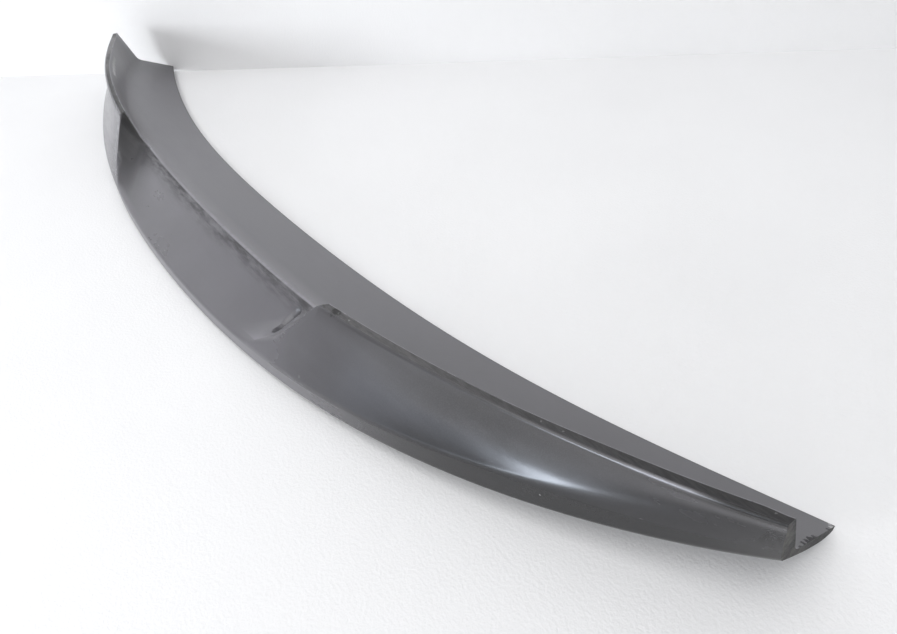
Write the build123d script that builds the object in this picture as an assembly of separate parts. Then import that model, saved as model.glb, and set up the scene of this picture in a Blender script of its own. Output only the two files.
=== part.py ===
import os
from build123d import *

# Rear lip spoiler: one solid casting, lying with its bonding side up.
# Millimetres, +X along the span, +Y towards the thin front edge, +Z up.
# Long edges are even power series in u, the span position from -1 to 1.

# ---- driving dimensions ----------------------------------------------------
HALF_SPAN = 551.0          # half length of the casting

FRONT_Y = (0.0, 63.74, 22.94, -6.90)         # thin front edge
FRONT_Z = (12.44, -27.18, 56.57, -33.16)
WALL_TOP_Y = (-76.79, 48.39, 58.32, -13.26)  # inner edge of the wall top
WALL_TOP_Z = (62.10, 63.16, -87.41, 39.06)
LIP_Y = (-124.34, 75.57, 112.41, -50.71)     # lip at the foot of the outer face
LIP_Z = (13.58, 34.83, 26.21, -17.31)
OUTER_LOW_Y = (-125.94, 86.34, 87.44, -48.68, 18.75)  # low edge of the strip under the lip
OUTER_LOW_Z = (2.09, 8.35, 79.88, -102.92, 50.51)
BELLY_Y = (-45.0, 97.0, 0.0, 18.0)           # control line of the rounded underside
BELLY_Z = (-4.5, -6.0, 20.0, -10.0)

NOSE_THICK_MID = 2.6       # thickness of the front edge, middle of the span
NOSE_THICK_END = 3.8       # the same at the two ends
TOP_BAND_OUT = 7.2         # width of the flat band on the wall top
TOP_BAND_DROP = 0.9        # fall of that band to the outside, middle
TOP_BAND_RISE = 1.3        # part of that fall lost towards the ends
CORNER_IN_MID = 6.8        # inner corner line, set in from the wall top
CORNER_IN_END = 15.6
CORNER_Z_MID = 40.0
CORNER_Z_END = 33.0
BLEND_FLANGE_MID = 20.0    # length of the blend at that corner, on the flange
BLEND_FLANGE_END = 5.5
BLEND_WALL_MID = 11.0      # the same on the wall
BLEND_WALL_END = 6.0
TOP_ROUND = 3.2            # rounding of the outer edge of the wall top
LIP_ROUND_MID = 2.6        # rounding of the lip, middle of the span
LIP_ROUND_END = 11.0       # the lip softens towards the two ends
LIP_SOFT_FROM = 0.72       # span position where that softening starts
LOW_ROUND_MID = 1.6        # rounding of the low edge, middle of the span
LOW_ROUND_END = 3.6        # the same at the two ends
FACE_HOLLOW = 3.6          # hollow of the outer face on the two wings
HOLLOW_FROM, HOLLOW_FULL = 0.42, 0.68        # span positions where it starts and is full
HOLLOW_FADE, HOLLOW_LEFT = 0.80, 0.25        # where it fades again, and what is left at the ends

STATIONS = (-1.0, -0.94, -0.88, -0.8, -0.72, -0.62, -0.5, -0.36, -0.18, 0.0,
            0.18, 0.36, 0.5, 0.62, 0.72, 0.8, 0.88, 0.94, 1.0)

# Scoop that lowers the wall over the middle of the span: a dished floor from
# the ridge to the lip, rising at each side to a crease.  S is the distance
# down the fall line; the crease is given by its span position X and its rise
# above the floor at each S.
RIDGE_Y = (-74.86, 55.50)  # ridge between the flange and the scoop
RIDGE_Z = (38.87, 12.99)
FALL_Y = -0.940            # unit vector down the scoop
FALL_Z = -0.341
CREASE_S = (20.0, 38.4, 50.0, 64.0, 78.4, 91.0, 102.6, 114.0, 135.0)
CREASE_X = (262.0, 247.5, 233.6, 223.4, 209.0, 192.6, 174.5, 160.0, 135.0)
CREASE_RISE = (42.0, 33.4, 27.7, 21.8, 14.4, 7.2, 0.4, 0.0, 0.0)
CREASE_RUN = 40.0          # width over which the floor rises to the crease
SCOOP_DISH = 3.0           # depth of the dish between ridge and lip
SCOOP_X = (0.0, 50.0, 95.0, 125.0, 145.0, 160.0, 172.0, 182.0, 192.0, 201.0,
           210.0, 219.0, 228.0, 237.0, 247.0, 264.0)
SCOOP_TOP = 135.0          # height of the cut above the fall line

# Slot with a blind hole at its low end, in the corner of the scoop at +X.
SLOT_HIGH = (193.7, -72.9, 37.0)
SLOT_LOW = (193.6, -92.1, 30.6)
SLOT_NORMAL = (-0.24, -0.32, 0.92)
SLOT_WIDTH = 7.6
SLOT_DEPTH = 2.8
HOLE_DIAMETER = 9.0
HOLE_DEPTH = 6.0


def series(c, u):
    return sum(k * u ** (2 * i) for i, k in enumerate(c))


def toward(a, b, length):
    dy, dz = b[0] - a[0], b[1] - a[1]
    n = (dy * dy + dz * dz) ** 0.5
    return (a[0] + dy * length / n, a[1] + dz * length / n)


def soften(a, b, v):
    t = min(max((v - a) / (b - a), 0.0), 1.0)
    return t * t * (3 - 2 * t)


def section(u):
    """Closed planar wire of the casting at the span position u."""
    w = u * u
    front = (series(FRONT_Y, u), series(FRONT_Z, u))
    top_in = (series(WALL_TOP_Y, u), series(WALL_TOP_Z, u))
    lip = (series(LIP_Y, u), series(LIP_Z, u))
    low = (series(OUTER_LOW_Y, u), series(OUTER_LOW_Z, u))
    top_out = (top_in[0] - TOP_BAND_OUT, top_in[1] - TOP_BAND_DROP + TOP_BAND_RISE * w)
    corner = (top_in[0] + CORNER_IN_MID + (CORNER_IN_END - CORNER_IN_MID) * w * w,
              CORNER_Z_MID + (CORNER_Z_END - CORNER_Z_MID) * w)
    nose = (front[0] - 0.6, front[1] - NOSE_THICK_MID - (NOSE_THICK_END - NOSE_THICK_MID) * w)
    belly = (series(BELLY_Y, u), series(BELLY_Z, u))

    hollow = FACE_HOLLOW * soften(HOLLOW_FROM, HOLLOW_FULL, abs(u)) * (
        1 - (1 - HOLLOW_LEFT) * soften(HOLLOW_FADE, 1.0, abs(u)))
    dy, dz = lip[0] - top_out[0], lip[1] - top_out[1]
    n = (dy * dy + dz * dz) ** 0.5
    waist = ((lip[0] + top_out[0]) / 2 - dz / n * 2 * hollow,
             (lip[1] + top_out[1]) / 2 + dy / n * 2 * hollow)

    near_end = soften(LIP_SOFT_FROM, 1.0, abs(u))
    lip_round = LIP_ROUND_MID + (LIP_ROUND_END - LIP_ROUND_MID) * near_end
    low_round = LOW_ROUND_MID + (LOW_ROUND_END - LOW_ROUND_MID) * near_end
    blend_a = toward(corner, front, BLEND_FLANGE_MID + (BLEND_FLANGE_END - BLEND_FLANGE_MID) * near_end)
    blend_b = toward(corner, top_in, BLEND_WALL_MID + (BLEND_WALL_END - BLEND_WALL_MID) * near_end)
    round_a = toward(top_out, top_in, TOP_ROUND)
    round_b = toward(top_out, waist, TOP_ROUND)
    lip_a = toward(lip, waist, lip_round)
    lip_b = toward(lip, low, min(lip_round, 5.0))
    low_a = toward(low, lip, low_round)
    low_b = toward(low, belly, low_round)

    def at(p):
        return Vector(u * HALF_SPAN, p[0], p[1])

    edges = [
        Edge.make_line(at(front), at(blend_a)),
        Edge.make_bezier(at(blend_a), at(corner), at(blend_b)),
        Edge.make_line(at(blend_b), at(top_in)),
        Edge.make_line(at(top_in), at(round_a)),
        Edge.make_bezier(at(round_a), at(top_out), at(round_b)),
        Edge.make_bezier(at(round_b), at(waist), at(lip_a)),
        Edge.make_bezier(at(lip_a), at(lip), at(lip_b)),
        Edge.make_line(at(lip_b), at(low_a)),
        Edge.make_bezier(at(low_a), at(low), at(low_b)),
        Edge.make_bezier(at(low_b), at(belly), at(nose)),
        Edge.make_line(at(nose), at(front)),
    ]
    return Wire(edges)


def fall(y, z):
    """Distance down the fall line and height above it."""
    return y * FALL_Y + z * FALL_Z, y * FALL_Z - z * FALL_Y


def scoop_floor(x, s, crease_x, rise):
    """Height of the scoop's surface above the fall line."""
    u = x / HALF_SPAN
    sr, wr = fall(series(RIDGE_Y, u), series(RIDGE_Z, u))
    se, we = fall(series(LIP_Y, u), series(LIP_Z, u))
    t = (s - sr) / (se - sr)
    tc = min(max(t, 0.0), 1.0)
    base = wr + (we - wr) * t - SCOOP_DISH * 4 * tc * (1 - tc)
    k = max(0.0, (x - crease_x) / CREASE_RUN + 1.0)
    return base + (k * k if k < 1 else 2 * k - 1) * rise


def scoop_profile(s, crease_x, rise):
    """Closed profile of the scoop tool at the distance s down its fall line."""
    def at(x, w):
        # the fall direction and its upward normal, both in the YZ plane
        return Vector(x, s * FALL_Y + w * FALL_Z, s * FALL_Z - w * FALL_Y)
    half = [(x, scoop_floor(x, s, crease_x, rise)) for x in SCOOP_X]
    pts = [at(-x, w) for x, w in reversed(half[1:])] + [at(x, w) for x, w in half]
    high_a, high_b = at(-SCOOP_X[-1], SCOOP_TOP), at(SCOOP_X[-1], SCOOP_TOP)
    return Wire([Edge.make_spline(pts), Edge.make_line(pts[-1], high_b),
                 Edge.make_line(high_b, high_a), Edge.make_line(high_a, pts[0])])


casting = Solid.make_loft([section(u) for u in STATIONS])
scoop = Solid.make_loft([scoop_profile(*row) for row in zip(CREASE_S, CREASE_X, CREASE_RISE)], ruled=True)
body = casting - scoop

run = Vector(SLOT_HIGH) - Vector(SLOT_LOW)
seat = Plane(origin=SLOT_LOW, x_dir=run, z_dir=Vector(SLOT_NORMAL))
slot = seat * Pos(run.length / 2, 0, 0) * Box(run.length, SLOT_WIDTH, 2 * SLOT_DEPTH)
slot_end = seat * Pos(run.length, 0, 0) * Cylinder(SLOT_WIDTH / 2, 2 * SLOT_DEPTH)
hole = seat * Cylinder(HOLE_DIAMETER / 2, 2 * HOLE_DEPTH)
body = body - slot - slot_end - hole

os.makedirs("parts", exist_ok=True)
solids = body.solids()
result = max(solids, key=lambda s: s.volume)
box = result.bounding_box()
# origin at the middle of the footprint, on the floor
result = result.moved(Location((0, -(box.min.Y + box.max.Y) / 2, -box.min.Z)))
result.label = "spoiler_body"
print("solids", len(solids), "volume", round(result.volume), "valid", result.is_valid)
print("moved by", -(box.min.Y + box.max.Y) / 2, -box.min.Z, "size", box.size)
export_step(result, "parts/spoiler_body.step")
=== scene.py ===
import math

import bpy
import numpy as np
from mathutils import Matrix, Vector, noise


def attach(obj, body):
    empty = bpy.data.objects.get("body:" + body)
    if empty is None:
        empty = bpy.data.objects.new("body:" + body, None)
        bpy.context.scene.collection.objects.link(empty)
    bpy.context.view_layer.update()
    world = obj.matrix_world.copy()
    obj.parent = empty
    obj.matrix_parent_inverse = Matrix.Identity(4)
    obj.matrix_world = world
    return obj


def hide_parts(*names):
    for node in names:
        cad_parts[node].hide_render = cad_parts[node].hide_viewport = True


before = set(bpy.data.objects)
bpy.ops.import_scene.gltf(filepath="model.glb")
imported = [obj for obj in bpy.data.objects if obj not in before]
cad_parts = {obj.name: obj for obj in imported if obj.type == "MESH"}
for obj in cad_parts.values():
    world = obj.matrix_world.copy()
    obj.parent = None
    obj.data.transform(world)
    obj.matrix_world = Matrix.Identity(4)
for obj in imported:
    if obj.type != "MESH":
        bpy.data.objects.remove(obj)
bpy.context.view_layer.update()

# Rear lip spoiler: one casting, modelled as a fine grid of cross sections.
# Sections are worked out in millimetres, and the mesh is in metres.

# ---- shape of the casting --------------------------------------------------
HALF_SPAN = 551.0
SHIFT = (0.0, 22.9831, 0.0637)

FRONT_Y = (0.0, 63.74, 22.94, -6.90)
FRONT_Z = (12.44, -27.18, 56.57, -33.16)
WALL_TOP_Y = (-76.79, 48.39, 58.32, -13.26)
WALL_TOP_Z = (62.10, 63.16, -87.41, 39.06)
LIP_Y = (-124.34, 75.57, 112.41, -50.71)
LIP_Z = (13.58, 34.83, 26.21, -17.31)
OUTER_LOW_Y = (-125.94, 86.34, 87.44, -48.68, 18.75)
OUTER_LOW_Z = (2.09, 8.35, 79.88, -102.92, 50.51)
RIDGE_Y = (-74.86, 55.50)
RIDGE_Z = (38.87, 12.99)
BELLY_Y = (-45.0, 97.0, 0.0, 18.0)
BELLY_Z = (-4.5, -6.0, 20.0, -10.0)

NOSE_THICK_MID = 2.6
NOSE_THICK_END = 3.8
TOP_BAND_OUT = 7.2
TOP_BAND_DROP = 0.9
TOP_BAND_RISE = 1.3
CORNER_IN_MID = 6.8
CORNER_IN_END = 15.6
CORNER_Z_MID = 40.0
CORNER_Z_END = 33.0
BLEND_FLANGE_MID = 20.0
BLEND_FLANGE_END = 5.5
BLEND_WALL_MID = 11.0
BLEND_WALL_END = 6.0
TOP_ROUND = 3.2
LIP_ROUND_MID = 2.6
LIP_ROUND_END = 11.0
LOW_ROUND_MID = 1.6
LOW_ROUND_END = 3.6
FACE_HOLLOW = 3.6          # hollow of the outer face on the two wings

# Scoop over the middle of the span: a dished floor from the ridge to the lip,
# rising at each side to the crease.  S runs down the floor, W is the height
# above it, and the crease is given by its span position and rise at S.
FALL_Y, FALL_Z = -0.940, -0.341
CREASE_S = (20.0, 38.4, 42.8, 50.0, 56.7, 64.0, 72.8, 78.4, 88.4, 95.4, 102.6, 112.0, 135.0)
CREASE_X = (262.0, 247.5, 240.5, 233.6, 229.4, 223.4, 215.3, 209.0, 196.4, 185.6, 174.5, 162.0, 135.0)
CREASE_RISE = (42.0, 33.4, 31.1, 27.7, 25.1, 21.8, 17.4, 14.4, 8.7, 4.6, 0.4, 0.0, 0.0)
CREASE_RUN = 40.0
SCOOP_DISH = 3.0

SLOT_HIGH = (193.7, -72.9, 37.0)
SLOT_LOW = (193.6, -92.1, 30.6)
SLOT_NORMAL = (-0.24, -0.32, 0.92)
SLOT_WIDTH = 7.6
SLOT_DEPTH = 2.8
HOLE_DIAMETER = 9.0
HOLE_DEPTH = 6.0
SLOT_BOW = 2.1             # sideways bow of the slot, following the scoop

RIDGE_ROUND = 2.4          # rounding of the ridge along the scoop
CREASE_ROUND = 1.2         # rounding of the crease at each side of the scoop

MASKS = ("band", "gloss", "rub", "painted_rim_highlight", "painted_shade_and_dark_edge", "painted_light", "painted_low_shade")

# points along each stretch of a section
N_FLANGE, N_WALL, N_ARC, N_TOP, N_FACE, N_STRIP, N_LOW, N_BELLY = 22, 22, 9, 40, 28, 9, 9, 22


def series(c, u):
    return sum(k * u ** (2 * i) for i, k in enumerate(c))


def toward(a, b, length):
    d = b - a
    return a + d * (length / np.hypot(*d))


def bezier(a, b, c, n):
    t = np.linspace(0.0, 1.0, n)[:, None]
    return a * (1 - t) ** 2 + b * 2 * t * (1 - t) + c * t ** 2


def lengths(p):
    return np.concatenate(([0.0], np.cumsum(np.hypot(*np.diff(p, axis=0).T))))


def spaced(p, n):
    """n points evenly spaced along the polyline p, both ends included."""
    s = lengths(p)
    t = np.linspace(0.0, s[-1], n)
    return np.column_stack([np.interp(t, s, p[:, 0]), np.interp(t, s, p[:, 1])])


def part_of(p, a, b):
    """The stretch of the polyline p between the lengths a and b along it."""
    s = lengths(p)
    inside = (s > a + 1e-6) & (s < b - 1e-6)
    end = [np.array([np.interp(t, s, p[:, 0]), np.interp(t, s, p[:, 1])]) for t in (a, b)]
    return np.vstack([end[0][None], p[inside], end[1][None]])


def smooth(a, b, v):
    t = np.clip((v - a) / (b - a), 0.0, 1.0)
    return t * t * (3 - 2 * t)


def fall(y, z):
    """Distance down the scoop's floor and height above it."""
    return y * FALL_Y + z * FALL_Z, y * FALL_Z - z * FALL_Y


def scoop_floor(x, s):
    """Height of the scoop's surface at the span position x and the distances s."""
    u = abs(x) / HALF_SPAN
    sr, wr = fall(series(RIDGE_Y, u), series(RIDGE_Z, u))
    se, we = fall(series(LIP_Y, u), series(LIP_Z, u))
    t = (s - sr) / (se - sr)
    tc = np.clip(t, 0.0, 1.0)
    base = wr + (we - wr) * t - SCOOP_DISH * 4 * tc * (1 - tc)
    k = np.clip((abs(x) - np.interp(s, CREASE_S, CREASE_X)) / CREASE_RUN + 1.0, 0.0, None)
    return base + np.where(k < 1, k * k, 2 * k - 1) * np.interp(s, CREASE_S, CREASE_RISE)


def section(x):
    """Closed section at x: its points (y, z), and a dictionary of surface masks."""
    u = x / HALF_SPAN
    w = u * u
    front = np.array([series(FRONT_Y, u), series(FRONT_Z, u)])
    top_in = np.array([series(WALL_TOP_Y, u), series(WALL_TOP_Z, u)])
    lip = np.array([series(LIP_Y, u), series(LIP_Z, u)])
    low = np.array([series(OUTER_LOW_Y, u), series(OUTER_LOW_Z, u)])
    top_out = top_in + np.array([-TOP_BAND_OUT, -TOP_BAND_DROP + TOP_BAND_RISE * w])
    corner = np.array([top_in[0] + CORNER_IN_MID + (CORNER_IN_END - CORNER_IN_MID) * w * w,
                       CORNER_Z_MID + (CORNER_Z_END - CORNER_Z_MID) * w])
    nose = front + np.array([-0.6, -NOSE_THICK_MID - (NOSE_THICK_END - NOSE_THICK_MID) * w])
    belly = np.array([series(BELLY_Y, u), series(BELLY_Z, u)])
    near_end = float(smooth(0.72, 1.0, abs(u)))
    low_round = LOW_ROUND_MID + (LOW_ROUND_END - LOW_ROUND_MID) * near_end
    lip_round = LIP_ROUND_MID + (LIP_ROUND_END - LIP_ROUND_MID) * near_end
    blend_a = toward(corner, front, BLEND_FLANGE_MID + (BLEND_FLANGE_END - BLEND_FLANGE_MID) * near_end)
    blend_b = toward(corner, top_in, BLEND_WALL_MID + (BLEND_WALL_END - BLEND_WALL_MID) * near_end)
    low_a = toward(low, lip, low_round)
    low_b = toward(low, belly, low_round)
    # the band spreads a little over its inner edge before each end
    top_in = top_in + np.array([1.6 * float(smooth(0.72, 0.88, abs(u)) * (1 - smooth(0.972, 1.0, abs(u)))), 0.0])

    wall = np.vstack([bezier(blend_a, corner, blend_b, 40), spaced(np.vstack([blend_b, top_in]), 40)[1:]])
    band = spaced(np.vstack([top_in, top_out]), 30)
    hollow = FACE_HOLLOW * float(smooth(0.42, 0.68, abs(u)) * (1 - 0.75 * smooth(0.80, 1.0, abs(u))))
    d = lip - top_out
    waist = (lip + top_out) / 2 + np.array([-d[1], d[0]]) / np.hypot(*d) * 2 * hollow
    face = spaced(bezier(top_out, waist, lip, 120), 90)
    path = np.vstack([wall, band[1:], face[1:]])
    along = lengths(path)
    wall_len, band_len = along[len(wall) - 1], along[len(wall) + len(band) - 2]

    first, edge = wall_len, band_len     # inner and outer edge of the top, as lengths along the path
    top, ridge, cutting, round_out = band, 0.9, False, TOP_ROUND
    if abs(x) < 262.0:
        s, h = fall(path[:, 0], path[:, 1])
        over = h - scoop_floor(x, s)
        cut = np.where(over > 0)[0]
        if len(cut):
            cutting = True
            i, j = cut[0], cut[-1]
            a = along[i] if i == 0 else np.interp(0.0, [over[i - 1], over[i]], [along[i - 1], along[i]])
            b = along[j] if j == len(path) - 1 else np.interp(0.0, [over[j + 1], over[j]], [along[j + 1], along[j]])
            sa, sb = np.interp([a, b], along, s)
            st = np.linspace(sa, sb, 90)
            wt = scoop_floor(x, st)
            floor = np.column_stack([st * FALL_Y + wt * FALL_Z, st * FALL_Z - wt * FALL_Y])
            floor[0], floor[-1] = [[np.interp(v, along, path[:, k]) for k in (0, 1)] for v in (a, b)]
            if a > wall_len:             # the inner edge of the wall top is still there
                top = np.vstack([part_of(path, wall_len, a), floor[1:]])
            else:
                top = floor
                ridge = float(np.clip(0.9 + 0.5 * (wall_len - a), 0.9, RIDGE_ROUND))
                first = a
            if b < band_len:             # the outer edge of the wall top is still there
                top = np.vstack([top, part_of(path, b, band_len)[1:]])
            edge = max(b, band_len)
            round_out = TOP_ROUND + (CREASE_ROUND - TOP_ROUND) * float(smooth(0.0, 6.0, b - band_len))
    inner = part_of(path, 0.0, first)
    rest = part_of(path, edge, along[-1]) if along[-1] - edge > 1e-6 else path[-1:]
    least = 3.2 + lip_round              # the face keeps this length above the lip
    n_top, n_face = lengths(top)[-1], lengths(rest)[-1]
    if n_face < least:
        both = np.vstack([top, rest[1:]])
        top, rest = part_of(both, 0.0, n_top + n_face - least), part_of(both, n_top + n_face - least, n_top + n_face)
        n_top, n_face = lengths(top)[-1], lengths(rest)[-1]
    n_in = lengths(inner)[-1]
    r1 = min(ridge, 0.45 * n_in, 0.30 * n_top)
    round_out = max(round_out, 7.0 * (1 - float(smooth(14.0, 40.0, n_face))))
    r2 = min(round_out, 0.30 * n_top, 0.30 * n_face)
    strip = np.vstack([lip, low_a])
    n_strip = lengths(strip)[-1]
    r3 = min(lip_round, 0.60 * n_face, 0.60 * n_strip)
    corner_in, corner_out = inner[-1].copy(), rest[0].copy()
    inner = spaced(part_of(inner, 0.0, n_in - r1), N_WALL)
    top = spaced(part_of(top, r1, n_top - r2), N_TOP)
    rest = spaced(part_of(rest, r2, n_face - r3), N_FACE)
    strip = spaced(part_of(strip, r3, n_strip), N_STRIP)
    flange = np.vstack([front, toward(front, blend_a, 0.6), spaced(np.vstack([toward(front, blend_a, 1.2), blend_a]), N_FLANGE - 2)])
    arc_in = bezier(inner[-1], corner_in, top[0], N_ARC)
    arc_out = bezier(top[-1], corner_out, rest[0], N_ARC)
    arc_lip = bezier(rest[-1], lip, strip[0], N_ARC)
    under = bezier(low_a, low, low_b, N_LOW)
    belly_line = spaced(bezier(low_b, belly, nose, 60), N_BELLY)
    edge_line = np.vstack([nose, nose + (front - nose) * 0.5])

    run = np.linspace(0.0, n_top, N_TOP)
    step = np.linspace(0.0, 1.0, N_FACE)
    mask = np.zeros(N_TOP) if first < wall_len - 4.0 else np.ones(N_TOP)
    worn = 1.0 - smooth(0.5, 20.0, run) if cutting else np.zeros(N_TOP)
    sheen = 0.45 + 0.55 * float(smooth(8.0, 50.0, n_face))
    # painted shade darkens the corner of the scoop at -X, and painted light makes the corner next to the crease at +X
    # paler
    down, _ = fall(top[:, 0], top[:, 1])
    away = np.interp(down, CREASE_S, CREASE_X) - abs(x)
    painted_shade_and_dark_edge = (1 - smooth(0.0, 105.0, away)) * (1 - 0.65 * smooth(50.0, 120.0, down)) * (cutting and x < 0)
    painted_light_corner = (1 - smooth(0.0, 30.0, away)) * smooth(45.0, 75.0, down) * (1 - smooth(98.0, 122.0, down)) * (cutting and x > 0)
    # the flange rises to the ridge, and painted light makes it paler there
    painted_light_ridge = np.linspace(0.0, 1.0, N_WALL)[1:] ** 1.5 * (1 - float(smooth(0.40, 0.50, abs(u))))
    # painted shade darkens the rounded outer edge of the band and the top of the face on the wing at +X, next to the
    # scoop and at the end
    band_edge_shade = (x > 0) * (1 - float(smooth(0.50, 0.64, u))) * mask[-1] * float(smooth(0.0, 12.0, n_face))
    end_edge_shade = (x > 0) * float(smooth(0.925, 0.96, u))
    shade = (x > 0) * float(smooth(0.84, 0.97, u))
    # painted highlight: a paler line along the rounded outer edge of the band near the end at +X
    painted_highlight_line = (x > 0) * float(smooth(0.85, 0.89, u) * (1 - smooth(0.92, 0.94, u)))
    # painted shade: the lower part of the outer face darkens towards the end at +X
    tone = float(smooth(0.42, 0.72, u))
    # painted light makes the outer face of the far wing paler
    painted_light_far_face = 0.75 * float(smooth(0.30, 0.45, -u))
    side = 0.15 + 0.85 * float(smooth(0.36, 0.66, u))
    pieces = [
        # the front edge of the flange is darkened
        (flange, {"gloss": 0.2, "painted_shade_and_dark_edge": np.r_[0.9, 0.5, np.zeros(N_FLANGE - 2)]}),
        (inner[1:], {"gloss": 0.2, "painted_light": painted_light_ridge}),
        (arc_in[1:-1], {"gloss": 0.5, "painted_rim_highlight": np.sin(np.linspace(0.0, np.pi, N_ARC))[1:-1], "painted_light": painted_light_ridge[-1]}),
        (top, {"band": mask, "gloss": 0.45, "rub": worn, "painted_shade_and_dark_edge": painted_shade_and_dark_edge, "painted_light": painted_light_corner}),
        (arc_out[1:-1], {"gloss": sheen, "painted_light": 1.5 * painted_highlight_line * np.sin(np.linspace(0.0, np.pi, N_ARC))[1:-1] ** 2,
                         "painted_shade_and_dark_edge": np.maximum(max(0.22 * band_edge_shade, 0.95 * end_edge_shade), painted_shade_and_dark_edge[-1] * np.linspace(1.0, 0.0, N_ARC)[1:-1])}),
        (rest, {"gloss": sheen, "painted_shade_and_dark_edge": np.maximum(0.24 * band_edge_shade * (1 - smooth(0.0, 0.18, step)), 0.85 * shade * np.maximum(end_edge_shade, smooth(0.0, 0.08, step)) * (1 - smooth(0.08, 0.32 + 0.16 * end_edge_shade, step))),
                "painted_low_shade": tone * smooth(0.45, 0.95, step),
                "painted_light": painted_light_far_face}),
        (arc_lip[1:-1], {"gloss": sheen, "painted_low_shade": tone, "painted_light": painted_light_far_face}),
        # painted light makes the lip strip paler over the middle of the span
        (strip, {"gloss": side, "painted_low_shade": tone, "painted_light": 0.45 * (1 - float(smooth(0.30, 0.60, abs(u))))}),
        (under[1:], {"gloss": side, "painted_low_shade": tone}),
        (belly_line[1:], {"gloss": 0.3}),
        (edge_line[1:], {"gloss": 0.2}),
    ]
    pts = np.vstack([p for p, _ in pieces])
    return pts, {k: np.concatenate([np.broadcast_to(m.get(k, 0.0), len(p)) for p, m in pieces]) for k in MASKS}


def stations():
    xs = []
    for a, b, step in ((0.0, 140.0, 4.0), (140.0, 190.0, 1.6), (190.0, 252.0, 0.9),
                       (252.0, 280.0, 2.5), (280.0, 530.0, 5.0), (530.0, 544.0, 2.0), (544.0, 551.0, 0.8)):
        n = max(1, round((b - a) / step))
        xs += [a + (b - a) * i / n for i in range(n)]
    xs.append(HALF_SPAN)
    return [-v for v in reversed(xs[1:])] + xs


def build_casting():
    xs = stations()
    rings, parts = [], []
    for x in xs:
        p, m = section(x)
        rings.append(np.column_stack([np.full(len(p), x), p]))
        parts.append(m)
    ring = len(rings[0])
    co = np.vstack(rings)
    masks = {k: np.concatenate([m[k] for m in parts]) for k in MASKS}

    # slot and blind hole, pressed into the grid
    low, high = np.array(SLOT_LOW), np.array(SLOT_HIGH)
    nz = np.array(SLOT_NORMAL) / np.linalg.norm(SLOT_NORMAL)
    run = high - low
    run_len = np.linalg.norm(run)
    ex = run / run_len
    ex = ex - nz * (ex @ nz)
    ex /= np.linalg.norm(ex)
    ey = np.cross(nz, ex)
    q = co - low
    px, py, pz = q @ ex, q @ ey, q @ nz
    near = (np.abs(pz) < 12) & (px > -8) & (px < run_len + 8)
    t = np.clip(px / run_len, 0, 1)
    off = np.hypot(px - np.clip(px, 0, run_len), py - SLOT_BOW * 4 * t * (1 - t))
    slot = (1 - smooth(SLOT_WIDTH / 2 - 0.8, SLOT_WIDTH / 2 + 0.3, off)) * near
    hole = (1 - smooth(HOLE_DIAMETER / 2 - 0.9, HOLE_DIAMETER / 2 + 0.3, np.hypot(px, py))) * near
    sink = np.maximum(slot * SLOT_DEPTH, hole * HOLE_DEPTH)
    # the hole's mask, widened over the slot, also carries painted shade
    hole = np.maximum(hole, 0.64 * slot)
    co = co - nz * sink[:, None]

    co = co + np.array(SHIFT)
    co = co * np.array((0.99999, 0.9995, 0.9990))   # kept just inside the solid's box
    faces = []
    for i in range(len(xs) - 1):
        a, b = i * ring, (i + 1) * ring
        for j in range(ring):
            k = (j + 1) % ring
            faces.append((a + j, a + k, b + k, b + j))
    cap_near = len(co)
    cap_far = cap_near + ring
    last = (len(xs) - 1) * ring
    co = np.vstack([co, co[last:last + ring], co[:ring]])
    masks["hole"] = hole
    faces.append(tuple(range(cap_near + ring - 1, cap_near - 1, -1)))
    faces.append(tuple(range(cap_far, cap_far + ring)))

    mesh = bpy.data.meshes.new("spoiler_casting")
    mesh.from_pydata((co * 0.001).tolist(), [], faces)
    mesh.update()
    for name, values in masks.items():
        values = np.concatenate([values, np.zeros(2 * ring)]).astype(np.float32)
        mesh.attributes.new(name, "FLOAT", "POINT").data.foreach_set("value", values)
    mesh.polygons.foreach_set("use_smooth", [True] * (len(faces) - 2) + [False, False])
    mesh.polygons.foreach_set("material_index", [0] * (len(faces) - 2) + [1, 1])
    mesh.set_sharp_from_angle(angle=math.radians(50))
    obj = bpy.data.objects.new("spoiler_casting", mesh)
    bpy.context.scene.collection.objects.link(obj)
    return obj


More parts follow.
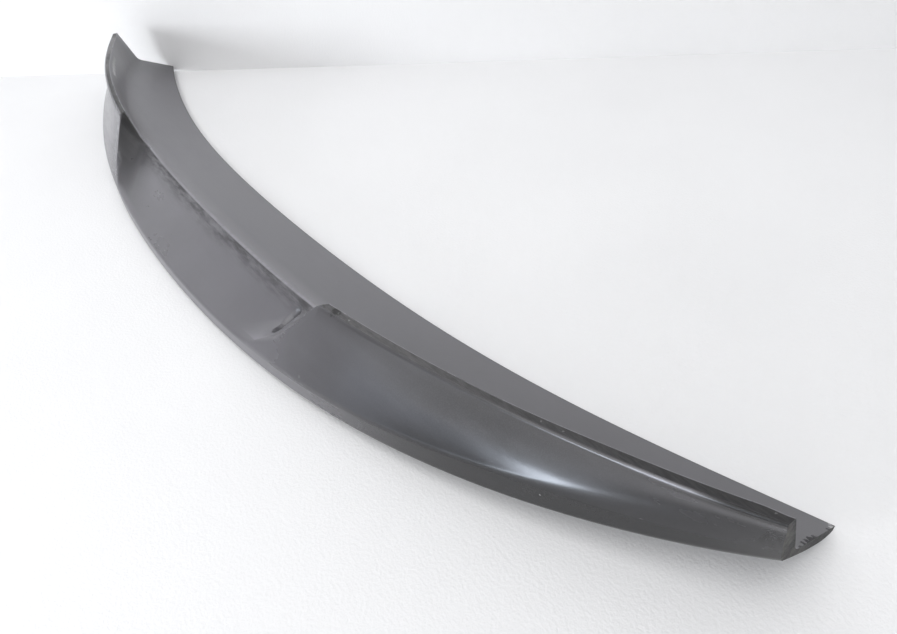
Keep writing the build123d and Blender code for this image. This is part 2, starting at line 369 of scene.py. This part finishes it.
# ---- materials -------------------------------------------------------------
class Nodes:
    """Short calls for building a node tree."""

    def __init__(self, name):
        self.material = bpy.data.materials.new(name)
        self.material.use_nodes = True
        self.tree = self.material.node_tree
        self.tree.nodes.clear()

    def add(self, kind, inputs=None, **props):
        node = self.tree.nodes.new(kind)
        for k, v in props.items():
            setattr(node, k, v)
        for k, v in (inputs or {}).items():
            self.put(node, k, v)
        return node

    def put(self, node, key, value):
        socket = node.inputs[key]
        if isinstance(value, bpy.types.NodeSocket):
            self.tree.links.new(value, socket)
        else:
            socket.default_value = value

    def math(self, op, a, b=0.0, clamp=False):
        return self.add("ShaderNodeMath", {0: a, 1: b}, operation=op, use_clamp=clamp).outputs[0]

    def noise(self, vector, scale, detail=3.0, rough=0.5):
        return self.add("ShaderNodeTexNoise", {"Vector": vector, "Scale": scale, "Detail": detail,
                                               "Roughness": rough}).outputs["Fac"]

    def ramp(self, value, low, high, out_low=0.0, out_high=1.0):
        return self.add("ShaderNodeMapRange", {"Value": value, "From Min": low, "From Max": high,
                                               "To Min": out_low, "To Max": out_high},
                        interpolation_type="SMOOTHSTEP").outputs["Result"]

    def mix(self, fac, a, b):
        node = self.add("ShaderNodeMix", data_type="RGBA")
        self.put(node, 0, fac)
        self.put(node, 6, a)
        self.put(node, 7, b)
        return node.outputs[2]

    def blend(self, fac, a, b):
        node = self.add("ShaderNodeMix", data_type="FLOAT")
        self.put(node, 0, fac)
        self.put(node, 2, a)
        self.put(node, 3, b)
        return node.outputs[0]

    def stretched(self, vector, scale):
        return self.add("ShaderNodeMapping", {"Vector": vector, "Scale": scale}).outputs["Vector"]

    def attribute(self, name):
        return self.add("ShaderNodeAttribute", attribute_name=name).outputs["Fac"]


def grey(v, warm=-0.085):
    return (v, v * (0.99 - 0.2 * abs(warm)), v * (1 - warm), 1.0)


NICKS_AND_PAINTED_STREAK = (
    ((0.2720, -0.0418, 0.0727), 0.0012, 0.30, 0.8),
    ((0.4282, -0.0086, 0.0770), 0.0008, 0.20, 0.7),
    ((0.4414, -0.0046, 0.0770), 0.0007, 0.18, 0.7),
    ((0.5435, 0.0350, 0.0769), 0.0008, 0.18, 0.7),
    ((0.4403, -0.0210, 0.0330), 0.0005, 0.30, 0.8),
    ((0.2570, -0.0430, 0.0722), 0.0050, 0.020, 0.8),
    ((0.5509, 0.0620, 0.0296), 0.0024, 0.012, 0.6),
    ((0.5509, 0.0665, 0.0272), 0.0028, 0.012, 0.7),
    ((0.5508, 0.0710, 0.0250), 0.0032, 0.012, 0.7),
    ((0.5506, 0.0750, 0.0230), 0.0030, 0.012, 0.7),
    ((0.5509, 0.0790, 0.0208), 0.0024, 0.012, 0.6),
    ((0.5506, 0.0945, 0.0130), 0.0014, 0.012, 0.6),
    ((0.5502, 0.0995, 0.0104), 0.0018, 0.40, 0.8),
    ((0.5488, 0.1012, 0.0094), 0.0011, 0.40, 0.8),
    ((0.2471, -0.0798, 0.0248), 0.0012, 0.15, 0.35),
    ((0.5500, 0.0310, 0.0560), 0.0090, 0.014, 0.6),
    ((0.5500, 0.0370, 0.0440), 0.0070, 0.014, 0.6),
    # pale rubbed streak on the inner wall of the far wing, with a painted highlight on it
    ((-0.4610, 0.0060, 0.0690), 0.0036, 0.20, 0.60),
    ((-0.4560, 0.0043, 0.0690), 0.0037, 0.23, 0.62),
    ((-0.4509, 0.0026, 0.0690), 0.0037, 0.25, 0.63),
    ((-0.4459, 0.0010, 0.0690), 0.0037, 0.28, 0.65),
    ((-0.4408, -0.0007, 0.0689), 0.0038, 0.31, 0.67),
    ((-0.4358, -0.0021, 0.0688), 0.0038, 0.33, 0.68),
    ((-0.4308, -0.0036, 0.0686), 0.0039, 0.36, 0.70),
    ((-0.4257, -0.0051, 0.0684), 0.0039, 0.39, 0.72),
    ((-0.4207, -0.0066, 0.0683), 0.0040, 0.41, 0.73),
    ((-0.4156, -0.0080, 0.0679), 0.0040, 0.44, 0.75),
    ((-0.4106, -0.0093, 0.0675), 0.0041, 0.47, 0.77),
    ((-0.4055, -0.0106, 0.0670), 0.0042, 0.49, 0.78),
    ((-0.4005, -0.0119, 0.0666), 0.0042, 0.52, 0.80),
)


def casting_material():
    n = Nodes("dark_casting")
    pos = n.add("ShaderNodeNewGeometry").outputs["Position"]
    band = n.attribute("band")
    hole = n.attribute("hole")
    gloss = n.attribute("gloss")
    rub = n.attribute("rub")

    cloud = n.noise(pos, 14.0, 4.0, 0.6)
    streak = n.noise(n.stretched(pos, (6.0, 90.0, 90.0)), 1.0, 4.0, 0.6)
    grain = n.noise(pos, 1400.0, 2.0, 0.6)
    along = n.add("ShaderNodeSeparateXYZ", {"Vector": pos}).outputs["X"]
    shade_toward_end = n.ramp(along, 0.12, 0.44)
    soft = n.ramp(cloud, 0.3, 0.7)
    painted_low_shade = n.attribute("painted_low_shade")
    painted_shade_and_dark_edge = n.attribute("painted_shade_and_dark_edge")
    # painted shade: the glossy colour is lighter up to the scoop and darker towards the end at +X
    dark = n.mix(shade_toward_end, n.mix(soft, grey(0.080), grey(0.094)), n.mix(soft, grey(0.028, -0.03), grey(0.034, -0.03)))
    # painted light and shade: the matte colour is paler towards -X and darker towards +X, then darker again at the very
    # end at -X
    matte = n.mix(n.ramp(along, -0.25, 0.40), n.mix(soft, grey(0.116), grey(0.134)), n.mix(soft, grey(0.088), grey(0.104)))
    matte = n.mix(n.ramp(along, -0.55, -0.44), grey(0.060), matte)
    base = n.mix(gloss, matte, dark)
    base = n.mix(n.ramp(streak, 0.45, 0.75, 0.0, 0.14), base, grey(0.085))
    base = n.mix(n.ramp(grain, 0.35, 0.75, 0.0, 0.16), base, grey(0.100))
    # painted light: the masked places are lifted towards a paler grey
    base = n.mix(n.math("MULTIPLY", n.attribute("painted_light"), 0.55), base, grey(0.19))
    # painted shade on the lower outer face and strip towards the end at +X
    base = n.mix(n.math("MULTIPLY", painted_low_shade, 0.60), base, grey(0.012, 0.0))
    # painted shade in the corner of the scoop at -X and over the band's outer edge at +X; the flange's front edge is
    # darkened too
    base = n.mix(n.math("MULTIPLY", painted_shade_and_dark_edge, 0.85), base, grey(0.020, 0.0))

    # rough sanded band on the wall top
    ragged = n.noise(pos, 160.0, 4.0, 0.7)
    edge = n.math("ADD", band, n.ramp(ragged, 0.3, 0.7, -0.3, 0.3))
    rough_band = n.ramp(edge, 0.35, 0.75)
    scrape = n.noise(n.stretched(pos, (120.0, 700.0, 700.0)), 1.0, 4.0, 0.7)
    scrape_amount = n.ramp(scrape, 0.3, 0.7)
    band_col = n.mix(n.ramp(along, 0.0, 0.22), n.mix(scrape_amount, grey(0.058, 0.0), grey(0.105, 0.0)),
                     n.mix(scrape_amount, grey(0.066, 0.0), grey(0.118, 0.0)))
    band_col = n.mix(n.ramp(along, 0.27, 0.54), band_col, n.mix(scrape_amount, grey(0.024, 0.0), grey(0.044, 0.0)))
    # the band on the far wing is paler in patches: rubbed wear with a painted sheen
    rubbed_and_sheen_far_band = n.math("MULTIPLY", n.ramp(along, -0.36, -0.44), n.ramp(n.noise(pos, 26.0, 4.0, 0.6), 0.36, 0.58, 0.0, 0.75))
    band_col = n.mix(rubbed_and_sheen_far_band, band_col, grey(0.26, 0.0))
    col = n.mix(n.math("MULTIPLY", rough_band, 0.9), base, band_col)

    # soft streaky wear along the ridge of the scoop, and a painted highlight along its rim and along the inner edge of
    # the band
    painted_rim_highlight = n.attribute("painted_rim_highlight")
    mottle = n.noise(n.stretched(pos, (34.0, 190.0, 190.0)), 1.0, 5.0, 0.65)
    worn = n.math("MULTIPLY", rub, n.ramp(mottle, 0.30, 0.66), True)
    col = n.mix(n.math("MULTIPLY", worn, 0.62), col, grey(0.034, 0.05))
    painted_light = n.math("MULTIPLY", painted_rim_highlight, n.ramp(ragged, 0.32, 0.62, 0.25, 1.0), True)
    col = n.mix(n.math("MULTIPLY", painted_light, n.ramp(along, -0.15, 0.12, 0.18, 0.60)), col, grey(0.28))
    # painted shade: the slot and the blind hole are coloured nearly black
    col = n.mix(n.ramp(hole, 0.4, 0.9), col, grey(0.01))

    # nicks, chips, rubbed specks and the far wing's streak with its painted highlight: place, radius in metres, tone,
    # strength
    chips = None
    for place, radius, tone, strength in NICKS_AND_PAINTED_STREAK:
        gap = n.add("ShaderNodeVectorMath", {0: pos, 1: place}, operation="DISTANCE").outputs["Value"]
        gap = n.math("ADD", gap, n.ramp(n.noise(pos, 700.0 if radius < 0.002 else 330.0, 3.0, 0.7), 0.25, 0.75, -0.6 * radius, 0.6 * radius))
        hit = n.ramp(gap, 0.55 * radius, radius, strength, 0.0)
        col = n.mix(hit, col, grey(tone, 0.0))
        if tone < 0.013:
            chips = hit if chips is None else n.math("MAXIMUM", chips, hit)

    rough = n.blend(gloss, n.ramp(cloud, 0.3, 0.7, 0.32, 0.40), n.ramp(streak, 0.3, 0.7, 0.19, 0.25))
    rough = n.blend(n.math("MAXIMUM", rough_band, worn), rough, 0.62)
    level = n.blend(gloss, 0.85, 0.70)
    level = n.blend(painted_low_shade, level, 0.46)
    level = n.blend(n.math("MAXIMUM", n.math("MAXIMUM", rough_band, worn), painted_shade_and_dark_edge), level, 0.22)
    level = n.blend(chips, level, 0.10)
    rough = n.blend(chips, rough, 0.75)
    peel = n.noise(pos, 260.0, 2.0, 0.5)
    height = n.math("ADD", n.math("MULTIPLY", peel, 0.30), n.math("MULTIPLY", grain, 0.10))
    height = n.math("ADD", height, n.math("MULTIPLY", n.math("MULTIPLY", rough_band, scrape), 1.2))
    height = n.math("ADD", height, n.math("MULTIPLY", n.math("MULTIPLY", rub, mottle), 1.6))
    bump = n.add("ShaderNodeBump", {"Height": height, "Strength": 0.22, "Distance": 0.0004})
    shader = n.add("ShaderNodeBsdfPrincipled", {"Base Color": col, "Roughness": rough,
                                                "Normal": bump.outputs["Normal"],
                                                "Specular IOR Level": level, "IOR": 1.5})
    out = n.add("ShaderNodeOutputMaterial")
    n.tree.links.new(shader.outputs["BSDF"], out.inputs["Surface"])
    return n.material


def end_material():
    n = Nodes("dark_casting_cut_end")
    pos = n.add("ShaderNodeNewGeometry").outputs["Position"]
    blotch = n.noise(pos, 90.0, 5.0, 0.65)
    pit = n.noise(pos, 420.0, 4.0, 0.7)
    col = n.mix(n.ramp(blotch, 0.35, 0.68), grey(0.018, 0.05), grey(0.105, 0.09))
    col = n.mix(n.ramp(pit, 0.52, 0.72, 0.0, 0.75), col, grey(0.17, 0.11))
    across = n.add("ShaderNodeSeparateXYZ", {"Vector": pos}).outputs["Y"]
    col = n.mix(n.ramp(across, 0.056, 0.072, 0.0, 0.65), col, grey(0.030, 0.0))
    height = n.math("ADD", n.math("MULTIPLY", blotch, 1.0), n.math("MULTIPLY", pit, 0.5))
    bump = n.add("ShaderNodeBump", {"Height": height, "Strength": 0.6, "Distance": 0.0012})
    shader = n.add("ShaderNodeBsdfPrincipled", {"Base Color": col, "Roughness": n.ramp(pit, 0.3, 0.7, 0.6, 0.85),
                                                "Normal": bump.outputs["Normal"]})
    out = n.add("ShaderNodeOutputMaterial")
    n.tree.links.new(shader.outputs["BSDF"], out.inputs["Surface"])
    return n.material


def floor_material(name, tint):
    n = Nodes(name)
    pos = n.add("ShaderNodeNewGeometry").outputs["Position"]
    cloud = n.noise(pos, 3.0, 3.0, 0.5)
    fine = n.noise(pos, 420.0, 3.0, 0.6)
    col = n.mix(n.ramp(cloud, 0.3, 0.7), tint, tuple(0.97 * c for c in tint[:3]) + (1.0,))
    bump = n.add("ShaderNodeBump", {"Height": fine, "Strength": 0.40, "Distance": 0.0008})
    shader = n.add("ShaderNodeBsdfPrincipled", {"Base Color": col, "Roughness": n.ramp(fine, 0.3, 0.7, 0.45, 0.6),
                                                "Normal": bump.outputs["Normal"]})
    out = n.add("ShaderNodeOutputMaterial")
    n.tree.links.new(shader.outputs["BSDF"], out.inputs["Surface"])
    return n.material


# ---- stage -----------------------------------------------------------------
def plane(name, corners, material):
    mesh = bpy.data.meshes.new(name)
    mesh.from_pydata(corners, [], [(0, 1, 2, 3)])
    mesh.materials.append(material)
    obj = bpy.data.objects.new(name, mesh)
    bpy.context.scene.collection.objects.link(obj)
    return obj


def area_light(name, where, at, size, power, colour=(1, 1, 1)):
    lamp = bpy.data.lights.new(name, "AREA")
    lamp.shape = "RECTANGLE"
    lamp.size, lamp.size_y = size
    lamp.energy = power
    lamp.color = colour
    obj = bpy.data.objects.new(name, lamp)
    obj.location = where
    obj.rotation_euler = (Vector(at) - Vector(where)).to_track_quat("-Z", "Y").to_euler()
    bpy.context.scene.collection.objects.link(obj)
    return obj


casting = build_casting()
casting.data.materials.append(casting_material())
casting.data.materials.append(end_material())
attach(casting, "root")
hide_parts("spoiler_body")

white = (0.86, 0.86, 0.865, 1.0)
plane("floor", [(-4, -4, 0), (4, -4, 0), (4, 4, 0), (-4, 4, 0)], floor_material("pale_floor", white))

# back wall, upright on the floor behind the far end
foot_a, foot_b = Vector((-0.7848, -0.1213, 0)), Vector((0.2060, 0.8309, 0))
run = (foot_b - foot_a).normalized()
wall_a, wall_b = foot_a - run * 1.5, foot_b + run * 1.5
up = Vector((0, 0, 2.0))
plane("back_wall", [tuple(wall_a), tuple(wall_b), tuple(wall_b + up), tuple(wall_a + up)],
      floor_material("pale_wall", white))

world = bpy.data.worlds.new("soft_room")
world.use_nodes = True
tree = world.node_tree
# bright towards the back wall and overhead, dim low down on the viewer's side
direction = tree.nodes.new("ShaderNodeTexCoord")
lean = tree.nodes.new("ShaderNodeVectorMath")
lean.operation = "DOT_PRODUCT"
lean.inputs[1].default_value = (-0.72, -0.46, 0.52)
level = tree.nodes.new("ShaderNodeMapRange")
for key, value in (("From Min", -0.55), ("From Max", 0.60), ("To Min", 0.12), ("To Max", 0.68)):
    level.inputs[key].default_value = value
tree.links.new(direction.outputs["Generated"], lean.inputs[0])
tree.links.new(lean.outputs["Value"], level.inputs["Value"])
tree.links.new(level.outputs["Result"], tree.nodes["Background"].inputs["Strength"])
tree.nodes["Background"].inputs["Color"].default_value = (0.975, 0.98, 1.0, 1.0)
bpy.context.scene.world = world

# low window light from the open side, and a broad soft light overhead
window = area_light("window", (0.0, -2.0, 0.36), (0.0, 0.1, 0.05), (0.55, 0.5), 18.0, (0.96, 0.98, 1.0))
window.visible_glossy = False
glint = area_light("glint", (0.86, -2.0, 0.36), (0.44, 0.0, 0.05), (0.90, 0.44), 38.0, (0.80, 0.88, 1.0))
glint.visible_diffuse = False
sheen = area_light("sheen", (0.0, -1.9, 0.24), (0.25, -0.05, 0.05), (1.3, 0.5), 1.8, (0.66, 0.78, 1.0))
sheen.visible_diffuse = False
area_light("top", (0.6, -0.9, 2.3), (0.2, 0.0, 0), (2.7, 2.3), 33.0)
fill = area_light("fill", (0.75, -1.3, 0.8), (0.5, -0.1, 0.0), (0.9, 0.6), 2.6)
fill.visible_glossy = False

# ---- camera ----------------------------------------------------------------
FORWARD = Vector((-0.6503919904, 0.4138668059, -0.6369493903))
RIGHT = Vector((0.5966871499, 0.7972698440, -0.0912427584))
UPWARD = Vector((-0.4700581921, 0.4394030756, 0.7654869256))
camera_data = bpy.data.cameras.new("camera")
camera_data.sensor_fit = "HORIZONTAL"
camera_data.sensor_width = 36.0
camera_data.lens = 700.155 * 36.0 / 897.0
camera_data.clip_start = 0.01
camera = bpy.data.objects.new("camera", camera_data)
camera.matrix_world = Matrix.Translation((0.622801, -0.184699, 0.372789)) @ Matrix(
    (RIGHT, UPWARD, -FORWARD)).transposed().to_4x4()
bpy.context.scene.collection.objects.link(camera)
bpy.context.scene.camera = camera
bpy.context.scene.view_settings.view_transform = "Standard"
